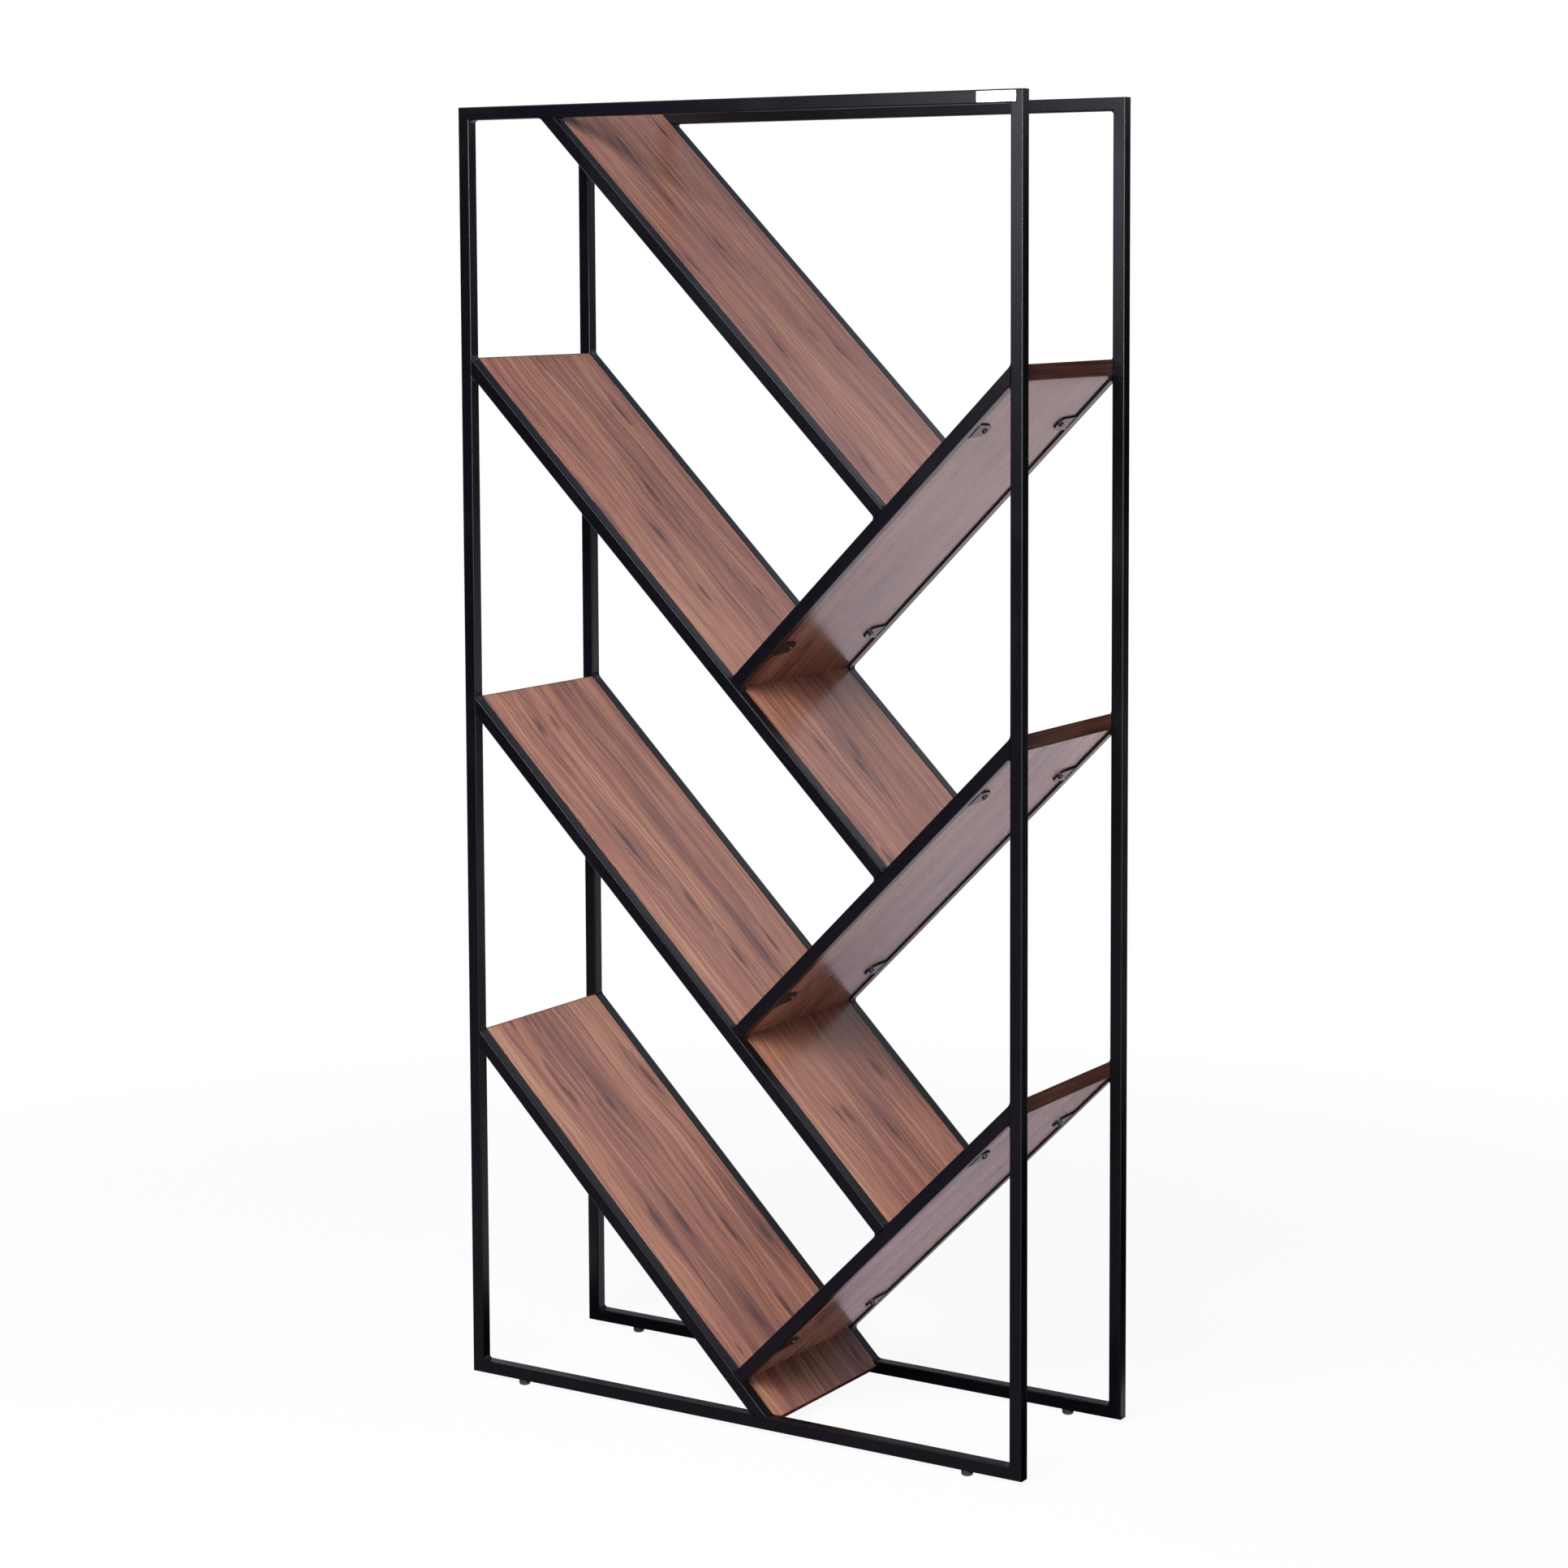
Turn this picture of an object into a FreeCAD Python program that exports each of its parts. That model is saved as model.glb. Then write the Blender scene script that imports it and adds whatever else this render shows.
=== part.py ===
# Zigzag bookshelf. Two flat frames are welded from square steel tube. In each, four slopes fall
# to the right at 45 degrees and three returns rise to the right from the middle of a slope.
# Veneered boards lie between the frames on tabs, and are all that joins the front to the rear.
# Millimetres: X along the width, Y from front to rear, Z up, with the floor at z = 0.
import FreeCAD, Part
import math
import operator
import os
from types import SimpleNamespace

import Sketcher
from FreeCAD import Placement, Rotation, Vector

SIZES = (
    ("frame_width", 890, "outer width of each frame"),
    ("frame_depth", 305, "front of the front frame to the back of the rear frame"),
    ("frame_height", 1800, "underside of the bottom rails to the top of the top rails"),
    ("tube_size", 18, "square tube across its flats"),
    ("tube_wall", 1.2, "wall of the tube"),
    ("tube_corner", 2, "outer corner radius of the tube"),
    ("top_slope_inset", 152, "top slope under the top rail, in from the left side of the frame"),
    ("crossing_height", 58, "lowest crossing of slope and return above the underside of the rails"),
    ("weld_leg", 6, "reach of the weld metal along each tube in an inner corner"),
    ("board_thickness", 15, "board with its veneers"),
    ("board_side_gap", 0.5, "board to tube along each side"),
    ("board_end_overlap", 1, "plumb board ends past the inner sides of the uprights"),
    ("board_end_rise", 16.5, "upper end of the top board above the undersides of the top rails"),
    ("board_end_cover", 1.5, "lower end of the lowest board above the undersides of the bottom rails"),
    ("band_thickness", 1, "edge band on a board end"),
    ("tab_thickness", 2.5, "steel tab under a board"),
    ("tab_width", 25, "tab along its tube, where it is welded on"),
    ("tab_end", 21, "diameter of the round end of a tab"),
    ("tab_reach", 39, "tab from its tube to the tip"),
    ("tab_inset", 96, "middle of a tab from the end of its tube"),
    ("tab_foot_inset", 78, "middle of a return's lower tab from the slope that the return stands on"),
    ("screw_diameter", 4, "shank of a board screw"),
    ("screw_play", 0.25, "tab hole beyond the shank, on the radius"),
    ("screw_grip", 10.5, "shank inside the board"),
    ("screw_head", 7.5, "diameter of the pan head"),
    ("screw_head_height", 2.4, "height of the pan head"),
    ("recess_width", 1, "arm of the cross recess in a screw head"),
    ("recess_span", 4, "cross recess from tip to tip"),
    ("recess_depth", 1.3, "depth of the cross recess"),
    ("foot_inset", 85, "middle of a foot from the outer side of its frame"),
    ("foot_height", 8, "glide under the bottom rail when screwed right in"),
    ("foot_diameter", 16, "diameter of the glide"),
    ("foot_round", 3, "radius of the lower edge of the glide"),
    ("stud_diameter", 6, "threaded stud of a foot"),
    ("stud_socket", 5, "stud moulded into its glide"),
    ("stud_clearance", 1.8, "end of a stud to the upper wall of its rail"),
    ("stud_play", 0.05, "nut bore beyond the stud, on the radius"),
    ("rail_hole_play", 0.4, "rail hole beyond the stud, on the radius"),
    ("nut_flats", 10, "hexagon nut across its flats"),
    ("nut_height", 6, "height of the hexagon nut"),
)
SHEET = "sizes"
ACROSS = Vector(0, 1, 0)


class Size:
    """A length that carries its sheet expression together with its value."""

    def __init__(self, text, value):
        self.text = text
        self.value = value

    def __add__(self, other):
        return combine("+", operator.add, self, other)

    def __radd__(self, other):
        return combine("+", operator.add, other, self)

    def __sub__(self, other):
        return combine("-", operator.sub, self, other)

    def __rsub__(self, other):
        return combine("-", operator.sub, other, self)

    def __mul__(self, other):
        return combine("*", operator.mul, self, other)

    def __rmul__(self, other):
        return combine("*", operator.mul, other, self)

    def __truediv__(self, other):
        return combine("/", operator.truediv, self, other)

    def __neg__(self):
        return combine("*", operator.mul, -1, self)


def combine(sign, work, left, right):
    """The Size made from two Sizes or plain numbers."""
    left, right = (v if isinstance(v, Size) else Size(repr(v), v) for v in (left, right))
    return Size(f"({left.text} {sign} {right.text})", work(left.value, right.value))


def fill_sheet(doc):
    """Write the driving dimensions to the sheet and hand them back as named Sizes."""
    sheet = doc.addObject("Spreadsheet::Sheet", SHEET)
    for row, (alias, value, meaning) in enumerate(SIZES, start=1):
        sheet.set(f"A{row}", alias)
        sheet.set(f"B{row}", str(value))
        sheet.set(f"C{row}", meaning)
        sheet.setAlias(f"B{row}", alias)
    doc.recompute()
    return SimpleNamespace(**{alias: Size(f"{SHEET}.{alias}", float(sheet.get(alias)))
                              for alias, value, meaning in SIZES})


def new_body(doc, label, base, tilt=0):
    """Body whose local frame starts at base and is turned by tilt degrees about Y."""
    body = doc.addObject("PartDesign::Body", label)
    body.Label = label
    body.Placement = Placement(Vector(*(b.value for b in base)), Rotation(ACROSS, tilt))
    for axis, distance in zip("xyz", base):
        body.setExpression(f"Placement.Base.{axis}", distance.text)
    return body


def new_sketch(body, plane, height=None):
    """Empty sketch on one of the body's own planes, raised by height where that is given."""
    sketch = body.newObject("Sketcher::SketchObject", f"{body.Name}_sketch")
    origin = next(f for f in body.Origin.OriginFeatures if f.Role == plane)
    sketch.AttachmentSupport = [(origin, "")]
    sketch.MapMode = "FlatFace"
    if height is not None:
        sketch.AttachmentOffset = Placement(Vector(0, 0, height.value), Rotation())
        sketch.setExpression("AttachmentOffset.Base.z", height.text)
    return sketch


def pin(sketch, edge, end, spot, kinds=("DistanceX", "DistanceY")):
    """Tie a point of a sketch edge to the origin; a plain 0 puts it on the axis."""
    for kind, distance in zip(kinds, spot):
        if isinstance(distance, Size):
            index = sketch.addConstraint(Sketcher.Constraint(kind, -1, 1, edge, end, distance.value))
            sketch.setExpression(f"Constraints[{index}]", distance.text)
        else:
            axis = -2 if kind == "DistanceX" else -1
            sketch.addConstraint(Sketcher.Constraint("PointOnObject", edge, end, axis))


def flat_point(spot):
    """Sketch point of a pair of Sizes or zeros."""
    x, y = (v.value if isinstance(v, Size) else v for v in spot)
    return Vector(x, y, 0)


def outline(sketch, corners, centres=None):
    """Closed outline through the corners; centres names the corners where an arc starts."""
    centres = centres or {}
    first = sketch.GeometryCount
    count = len(corners)
    points = [flat_point(corner) for corner in corners]
    for i, start in enumerate(points):
        end = points[(i + 1) % count]
        if i in centres:
            centre = flat_point(centres[i])
            circle = Part.Circle(centre, Vector(0, 0, 1), (start - centre).Length)
            angles = [math.atan2(p.y - centre.y, p.x - centre.x) for p in (start, end)]
            sketch.addGeometry(Part.ArcOfCircle(circle, *angles), False)
        else:
            sketch.addGeometry(Part.LineSegment(start, end), False)
    for i, corner in enumerate(corners):
        edge = first + i
        sketch.addConstraint(Sketcher.Constraint("Coincident", edge, 2, first + (i + 1) % count, 1))
        pin(sketch, edge, 1, corner)
        if i in centres:
            pin(sketch, edge, 3, centres[i][1:], ("DistanceY",))


def rounded_square(sketch, half, radius):
    """Square of the given half width about the origin, with rounded corners."""
    flat = half - radius
    corners = ((-flat, -half), (flat, -half), (half, -flat), (half, flat),
               (flat, half), (-flat, half), (-half, flat), (-half, -flat))
    outline(sketch, corners, {1: (flat, -flat), 3: (flat, flat), 5: (-flat, flat), 7: (-flat, -flat)})


def circle(sketch, centre, radius):
    """Circle tied to the origin by its centre."""
    edge = sketch.addGeometry(Part.Circle(flat_point(centre), Vector(0, 0, 1), radius.value), False)
    pin(sketch, edge, 3, centre)
    index = sketch.addConstraint(Sketcher.Constraint("Radius", edge, radius.value))
    sketch.setExpression(f"Constraints[{index}]", radius.text)


def pad(body, sketch, length, both_ways=False):
    """Pad along the sketch's normal, or by half the length to each side of it."""
    feature = body.newObject("PartDesign::Pad", f"{body.Name}_pad")
    feature.Profile = sketch
    feature.SideType = "Symmetric" if both_ways else "One side"
    feature.Length = length.value
    feature.setExpression("Length", length.text)
    sketch.Visibility = False


def pocket(body, sketch, depth=None, both_ways=False, reverse=False):
    """Pocket to a depth, or right through the body where no depth is given."""
    feature = body.newObject("PartDesign::Pocket", f"{body.Name}_pocket")
    feature.Profile = sketch
    feature.SideType = "Symmetric" if both_ways else "One side"
    feature.Reversed = reverse
    if depth is None:
        feature.Type = "ThroughAll"
    else:
        feature.Length = depth.value
        feature.setExpression("Length", depth.text)
    sketch.Visibility = False


def revolve(body, sketch):
    """Full turn of the sketch about its upright axis."""
    feature = body.newObject("PartDesign::Revolution", f"{body.Name}_revolution")
    feature.Profile = sketch
    feature.ReferenceAxis = (sketch, ["V_Axis"])
    feature.Angle = 360
    sketch.Visibility = False


def tube(doc, s, label, base, tilt, length, start=0, end=0):
    """Square tube along its local Z; start and end are +1 or -1 where a 45 degree cut shortens
    the tube's local +X or -X side there, and 0 where the tube is cut square."""
    body = new_body(doc, label, base, tilt)
    half = s.tube_size / 2
    section = new_sketch(body, "XY_Plane")
    rounded_square(section, half, s.tube_corner)
    rounded_square(section, half - s.tube_wall, s.tube_corner - s.tube_wall)
    pad(body, section, length)
    over = s.tube_size / 4
    for side, near, inward in ((start, Size("0", 0), 1), (end, length, -1)):
        if side:
            cut = new_sketch(body, "XZ_Plane")
            outside = near - inward * over
            wide = side * (half + over)
            outline(cut, ((wide, outside), (-wide, outside), (wide, near + inward * (s.tube_size + over))))
            pocket(body, cut, both_ways=True)
    return body


def rail_holes(s, body):
    """Holes for the foot studs through the lower wall of a bottom rail."""
    holes = new_sketch(body, "YZ_Plane")
    radius = s.stud_diameter / 2 + s.rail_hole_play
    for along in (s.foot_inset, s.frame_width - s.foot_inset):
        circle(holes, (0, along), radius)
    pocket(body, holes, reverse=True)


def frame_tubes(doc, s, side, y):
    """The eleven tubes of one frame, in the plane y."""
    half = s.frame_width / 2
    size = s.tube_size
    left = size / 2 - half
    inner = half - size
    slant = size / (2 * s.root2)
    tube(doc, s, f"{side}_left_upright", (left, y, s.foot_height), 0, s.frame_height, 1, 1)
    tube(doc, s, f"{side}_right_upright", (-left, y, s.foot_height), 0, s.frame_height, -1, -1)
    tube(doc, s, f"{side}_top_rail", (-half, y, s.top - size / 2), 90, s.frame_width, 1, 1)
    bottom = tube(doc, s, f"{side}_bottom_rail", (-half, y, s.foot_height + size / 2), 90, s.frame_width,
                  -1, -1)
    rail_holes(s, bottom)
    for bay in s.bays:
        if bay.name == "top":
            base = (s.top_slope_x - slant, y, s.top - size + slant)
            tube(doc, s, f"{side}_top_slope", base, 135, (s.bay_pitch / 2 - s.top_slope_x) * s.root2, -1)
            continue
        base = (-inner - slant, y, bay.z + inner + slant)
        if bay.name == "lower":
            tube(doc, s, f"{side}_lower_slope", base, 135,
                 (s.crossing_height - size + inner) * s.root2 + size, 1, 1)
        else:
            tube(doc, s, f"{side}_{bay.name}_slope", base, 135, (s.bay_pitch / 2 + inner) * s.root2, 1)
        tube(doc, s, f"{side}_{bay.name}_return", (slant, y, bay.z + slant), 45, inner * s.root2, 0, 1)


def board_piece(doc, s, label, z, tilt, corners, screw_spots=()):
    """Board or edge band between the frames: a profile along the slope, with pilot holes."""
    body = new_body(doc, label, (Size("0", 0), Size("0", 0), z), tilt)
    profile = new_sketch(body, "XZ_Plane")
    outline(profile, corners)
    pad(body, profile, s.frame_depth - 2 * s.tube_size - 2 * s.board_side_gap, both_ways=True)
    if screw_spots:
        pilots = new_sketch(body, "XY_Plane", s.board_low + s.screw_grip)
        for along in screw_spots:
            for y in (-s.screw_y, s.screw_y):
                circle(pilots, (along, y), s.screw_diameter / 2)
        pocket(body, pilots)
    return body


def strip(s, first, last):
    """Profile between two ends, each a position along the slope as a function of the height c."""
    low, high = s.board_low, s.board_high
    return ((first(low), low), (last(low), low), (last(high), high), (first(high), high))


def boards(doc, s):
    """The seven boards and the bands on their exposed ends."""
    reach = s.frame_width / 2 - s.tube_size + s.board_end_overlap
    band = s.band_thickness

    def square(place):
        return lambda c: place

    def plumb_left(inset):
        return lambda c: (inset - reach) * s.root2 - c

    def plumb_right(inset):
        return lambda c: (reach - inset) * s.root2 + c

    landing = square(s.bay_pitch / s.root2 - s.board_high)
    top_end = (s.top_slope_x - s.board_end_rise) * s.root2 + s.board_high
    floor_end = (s.crossing_height - s.board_end_cover) * s.root2 + s.board_low
    for bay in s.bays:
        start, start_face = (plumb_left(band), plumb_left(0))
        end = landing
        if bay.name == "top":
            start, start_face = square(top_end + band), square(top_end)
        if bay.name == "lower":
            end = square(floor_end - band)
            board_piece(doc, s, "lower_slope_floor_band", bay.z, 45, strip(s, end, square(floor_end)))
        board_piece(doc, s, f"{bay.name}_slope_board", bay.z, 45, strip(s, start, end), bay.slope_tabs)
        board_piece(doc, s, f"{bay.name}_slope_band", bay.z, 45, strip(s, start_face, start))
        if bay.return_tabs:
            foot = square(s.board_high)
            end, end_face = plumb_right(band), plumb_right(0)
            board_piece(doc, s, f"{bay.name}_return_board", bay.z, -45, strip(s, foot, end),
                        bay.return_tabs)
            board_piece(doc, s, f"{bay.name}_return_band", bay.z, -45, strip(s, end, end_face))


def tabs(doc, s, label, z, tilt, spots):
    """Tabs under one board, front and rear, flush with the undersides of the tubes. Each narrows from
    its weld to a round end about the screw."""
    body = new_body(doc, label, (Size("0", 0), Size("0", 0), z), tilt)
    body.AllowCompound = True
    plates = new_sketch(body, "XY_Plane", -s.tube_size / 2)
    half = s.tab_width / 2
    radius = s.tab_end / 2
    root = s.frame_depth / 2 - s.tube_size
    for along in spots:
        near, far = along - half, along + half
        outline(plates, ((near, -root), (far, -root), (along + radius, -s.screw_y),
                         (along - radius, -s.screw_y)), {2: (along, -s.screw_y)})
        outline(plates, ((far, root), (near, root), (along - radius, s.screw_y),
                         (along + radius, s.screw_y)), {2: (along, s.screw_y)})
        for y in (-s.screw_y, s.screw_y):
            circle(plates, (along, y), s.screw_diameter / 2 + s.screw_play)
    pad(body, plates, s.tab_thickness)


def screw(doc, s):
    """One pan-head screw, pointing up local Z from the underside of its tab."""
    body = new_body(doc, "screw_pattern", (Size("0", 0),) * 3)
    profile = new_sketch(body, "XZ_Plane")
    head = s.screw_head / 2
    crown = s.screw_head_height / 2
    shank = s.screw_diameter / 2
    tip = s.tab_thickness + s.screw_grip
    low = -s.screw_head_height
    outline(profile, ((0, low), (head - crown, low), (head, low + crown), (head, 0), (shank, 0),
                      (shank, tip - s.screw_diameter), (0, tip)), {1: (head - crown, low + crown)})
    revolve(body, profile)
    recess = new_sketch(body, "XY_Plane", low)
    arm = s.recess_width / 2
    far = s.recess_span / 2
    outline(recess, ((arm, -far), (arm, -arm), (far, -arm), (far, arm), (arm, arm), (arm, far),
                     (-arm, far), (-arm, arm), (-far, arm), (-far, -arm), (-arm, -arm), (-arm, -far)))
    pocket(body, recess, s.recess_depth, reverse=True)
    return body


def nut(doc, s):
    """One hexagon nut standing on local z = 0."""
    body = new_body(doc, "nut_pattern", (Size("0", 0),) * 3)
    section = new_sketch(body, "XY_Plane")
    flat = s.nut_flats / 2
    point = s.nut_flats / s.root3
    outline(section, ((point, 0), (point / 2, flat), (-point / 2, flat), (-point, 0),
                      (-point / 2, -flat), (point / 2, -flat)))
    circle(section, (0, 0), s.stud_diameter / 2 + s.stud_play)
    pad(body, section, s.nut_height)
    return body


def foot(doc, s, label, x, y):
    """Glide with a rounded lower edge, and the stud moulded into its socket."""
    glide = new_body(doc, f"{label}_glide", (x, y, Size("0", 0)))
    profile = new_sketch(glide, "XZ_Plane")
    radius = s.foot_diameter / 2
    stud = s.stud_diameter / 2
    floor = s.foot_height - s.stud_socket
    outline(profile, ((0, 0), (radius - s.foot_round, 0), (radius, s.foot_round), (radius, s.foot_height),
                      (stud, s.foot_height), (stud, floor), (0, floor)),
            {1: (radius - s.foot_round, s.foot_round)})
    revolve(glide, profile)
    pin_body = new_body(doc, f"{label}_stud", (x, y, floor))
    section = new_sketch(pin_body, "XY_Plane")
    circle(section, (0, 0), stud)
    pad(pin_body, section, s.stud_socket + s.stud_reach)


def group(doc, label, shapes):
    """Separate solids under one name."""
    feature = doc.addObject("Part::Feature", label)
    feature.Label = label
    feature.Shape = Part.makeCompound(shapes)


def placed(shape, spot):
    """Copy of a shape carried by a placement."""
    copy = shape.copy()
    copy.Placement = spot
    return copy


def screw_places(s):
    """Placements of the screws, one under each tab."""
    for bay in s.bays:
        for spots, tilt in ((bay.slope_tabs, 45), (bay.return_tabs, -45)):
            turn = Rotation(ACROSS, tilt)
            for along in spots:
                for y in (-s.screw_y, s.screw_y):
                    local = Vector(along.value, y.value, -s.tube_size.value / 2)
                    yield Placement(Vector(0, 0, bay.z.value) + turn.multVec(local), turn)


def weld_corners(s):
    """Inner corners of a frame as (x, z, heading, heading), the headings in degrees from +X."""
    inner = s.frame_width.value / 2 - s.tube_size.value
    low = s.foot_height.value + s.tube_size.value
    high = s.top.value - s.tube_size.value
    side = s.tube_size.value / math.sqrt(2)
    yield from ((-inner, low, 0, 90), (inner, low, 90, 180), (-inner, high, -90, 0), (inner, high, 180, 270))
    for bay in s.bays:
        z = bay.z.value
        if bay.name == "top":
            yield from ((z - high - side, high, 180, 315), (z - high + side, high, -45, 0))
            continue
        yield from ((-inner, z + inner + side, -45, 90), (-inner, z + inner - side, -90, -45))
        yield from ((inner, z + inner + side, 90, 225), (inner, z + inner - side, 225, 270))
        yield from ((0, z + side, 45, 135), (side, z, -45, 45))
        half = s.bay_pitch.value / 2
        yield from ((half, z + half + side, 45, 135), (half - side, z + half, 135, 225))
        if bay.name == "lower":
            yield from ((z - low - side, low, 135, 180), (z - low + side, low, 0, 135))


def weld(s, corner, y):
    """Weld metal in one corner, its hollow face an arc that runs out along both tubes."""
    x, z, first, last = corner
    leg = s.weld_leg.value
    half_angle = math.radians(last - first) / 2
    depth = s.tube_size.value - 2 * s.tube_corner.value

    def out(distance, degrees):
        turn = math.radians(degrees)
        return Vector(x + distance * math.cos(turn), y - depth / 2, z + distance * math.sin(turn))

    middle = out(leg / math.cos(half_angle) - leg * math.tan(half_angle), (first + last) / 2)
    edges = (Part.makeLine(out(0, 0), out(leg, first)),
             Part.Arc(out(leg, first), middle, out(leg, last)).toShape(),
             Part.makeLine(out(leg, last), out(0, 0)))
    return Part.Face(Part.Wire(edges)).extrude(ACROSS * depth)


def derive(s):
    """Sizes that follow from the sheet and are used by more than one piece."""
    s.root2 = Size("sqrt(2)", math.sqrt(2))
    s.root3 = Size("sqrt(3)", math.sqrt(3))
    s.top = s.foot_height + s.frame_height
    s.board_low = s.tab_thickness - s.tube_size / 2
    s.board_high = s.board_low + s.board_thickness
    s.screw_y = s.frame_depth / 2 - s.tube_size - s.tab_reach + s.tab_end / 2
    s.stud_reach = s.tube_size - s.tube_wall - s.stud_clearance
    s.top_slope_x = s.top_slope_inset - s.frame_width / 2
    s.bay_pitch = (s.frame_height - s.tube_size - s.crossing_height + s.top_slope_x) / 3
    inner = (s.frame_width / 2 - s.tube_size) * s.root2
    landing = s.bay_pitch / s.root2 - s.tube_size / 2 - s.tab_inset
    upper = s.tab_inset - inner
    floor = (s.crossing_height - s.tube_size) * s.root2 - s.tab_inset
    risers = (s.tube_size / 2 + s.tab_foot_inset, inner - s.tab_inset)
    slopes = (("top", 3, (s.top_slope_x * s.root2 + s.tab_inset, landing), ()),
              ("upper", 2, (upper, (upper + landing) / 2, landing), risers),
              ("middle", 1, (upper, (upper + landing) / 2, landing), risers),
              ("lower", 0, (upper, (upper + floor) / 2, floor), risers))
    s.bays = [SimpleNamespace(name=name, z=s.foot_height + s.crossing_height + count * s.bay_pitch,
                              slope_tabs=slope_tabs, return_tabs=return_tabs)
              for name, count, slope_tabs, return_tabs in slopes]


def check(doc):
    """Stop if any object failed or any piece has no sound solid."""
    for item in doc.Objects:
        if "Invalid" in item.State or "Error" in item.State:
            raise RuntimeError(f"{item.Label} is in state {item.State}")
        if item.TypeId in ("PartDesign::Body", "Part::Feature"):
            if item.Shape.isNull() or not item.Shape.isValid() or not item.Shape.Solids:
                raise RuntimeError(f"{item.Label} has no sound solid")


def main():
    doc = FreeCAD.newDocument("zigzag_bookshelf")
    s = fill_sheet(doc)
    derive(s)
    centre = s.frame_depth / 2 - s.tube_size / 2
    for side, y in (("front", -centre), ("rear", centre)):
        frame_tubes(doc, s, side, y)
        group(doc, f"{side}_weld_fillets", [weld(s, corner, y.value) for corner in weld_corners(s)])
    boards(doc, s)
    for bay in s.bays:
        tabs(doc, s, f"{bay.name}_slope_tabs", bay.z, 45, bay.slope_tabs)
        if bay.return_tabs:
            tabs(doc, s, f"{bay.name}_return_tabs", bay.z, -45, bay.return_tabs)
    foot_x = s.frame_width / 2 - s.foot_inset
    feet = [(f"{end}_{side}", x, y) for end, y in (("front", -centre), ("rear", centre))
            for side, x in (("left", -foot_x), ("right", foot_x))]
    for label, x, y in feet:
        foot(doc, s, label, x, y)
    patterns = (screw(doc, s), nut(doc, s))
    doc.recompute()
    nut_floor = s.foot_height.value + s.tube_wall.value
    group(doc, "board_screws", [placed(patterns[0].Shape, spot) for spot in screw_places(s)])
    group(doc, "foot_nuts", [placed(patterns[1].Shape, Placement(Vector(x.value, y.value, nut_floor), Rotation()))
                             for label, x, y in feet])
    doc.recompute()
    check(doc)
    os.makedirs("parts", exist_ok=True)
    for item in doc.Objects:
        if item.TypeId in ("PartDesign::Body", "Part::Feature") and item not in patterns:
            item.Shape.exportStep(f"parts/{item.Label}.step")


main()
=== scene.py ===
"""Zigzag bookshelf: the finishes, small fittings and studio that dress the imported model."""
import math

import bpy
import numpy as np
from mathutils import Matrix, Vector


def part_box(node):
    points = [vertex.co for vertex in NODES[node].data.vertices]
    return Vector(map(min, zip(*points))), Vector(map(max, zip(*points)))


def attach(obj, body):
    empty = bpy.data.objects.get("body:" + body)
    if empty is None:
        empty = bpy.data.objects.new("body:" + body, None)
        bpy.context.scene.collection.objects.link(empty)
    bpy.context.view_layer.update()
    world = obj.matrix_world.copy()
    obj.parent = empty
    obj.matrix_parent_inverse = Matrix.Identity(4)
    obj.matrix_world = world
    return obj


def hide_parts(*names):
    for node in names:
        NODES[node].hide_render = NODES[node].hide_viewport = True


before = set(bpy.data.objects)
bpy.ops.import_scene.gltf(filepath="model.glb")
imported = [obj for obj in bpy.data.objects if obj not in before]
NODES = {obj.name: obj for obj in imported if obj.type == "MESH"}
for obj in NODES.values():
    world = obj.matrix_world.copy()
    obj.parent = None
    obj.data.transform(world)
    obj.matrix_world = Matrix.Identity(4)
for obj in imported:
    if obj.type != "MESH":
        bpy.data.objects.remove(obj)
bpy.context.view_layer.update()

bl_info = {
    "name": "Zigzag bookshelf",
    "version": (1, 0, 0),
    "blender": (4, 5, 0),
    "location": "View3D > Sidebar > Shelf",
    "description": "Powder coat, walnut veneer, fittings and studio for a zigzag bookshelf",
    "category": "Object",
}

# Each board, and whether it rises to the right
BOARDS = (("top_slope", False), ("upper_slope", False), ("middle_slope", False), ("lower_slope", False),
          ("upper_return", True), ("middle_return", True), ("lower_return", True))
FEET = tuple(f"{end}_{side}" for end in ("front", "rear") for side in ("left", "right"))
DIAGONAL = math.sqrt(0.5)  # cosine of a board's 45 degrees
PHOTO_WIDTH = 1932  # pixels
SENSOR_WIDTH = 36.0  # millimetres
WHITE = (1.0, 1.0, 1.0)
THREAD_POINTS = 40  # around a stud
THREAD_RINGS = 8  # in one pitch
BEAD_POINTS = 14  # around a bead
BEAD_RINGS = 61  # along it
PLATE_POINTS = 48  # around the plate's outline
PLATE_SHARP = math.radians(30)  # its steeper edges stay sharp


def colour(name, description, default):
    """Colour property of a finish."""
    return bpy.props.FloatVectorProperty(name=name, description=description, subtype="COLOR", size=3,
                                         min=0.0, max=1.0, default=default)


def length(name, description, default):
    """Length property in metres."""
    return bpy.props.FloatProperty(name=name, description=description, unit="LENGTH", precision=5,
                                   default=default)


def share(name, description, default):
    """Property from 0 to 1."""
    return bpy.props.FloatProperty(name=name, description=description, subtype="FACTOR", min=0.0, max=1.0,
                                   default=default)


class SteelFinish(bpy.types.PropertyGroup):
    """Black powder coat on tubes, welds and tabs, and the bare fasteners."""

    coat: colour("Coat", "Powder coat of the frames", (0.0016, 0.0014, 0.0027))
    coat_worn: colour("Coat, worn", "Powder coat where it is rubbed paler", (0.0048, 0.0045, 0.0068))
    coat_roughness: share("Coat roughness", "Roughness of the powder coat", 0.28)
    coat_grain: length("Coat grain", "Width of a grain in the powder coat", 0.0011)
    screw: colour("Screws", "Dark zinc of the board screws", (0.085, 0.08, 0.08))
    zinc: colour("Studs and nuts", "Bright zinc of the foot studs and nuts", (0.56, 0.56, 0.58))


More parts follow.
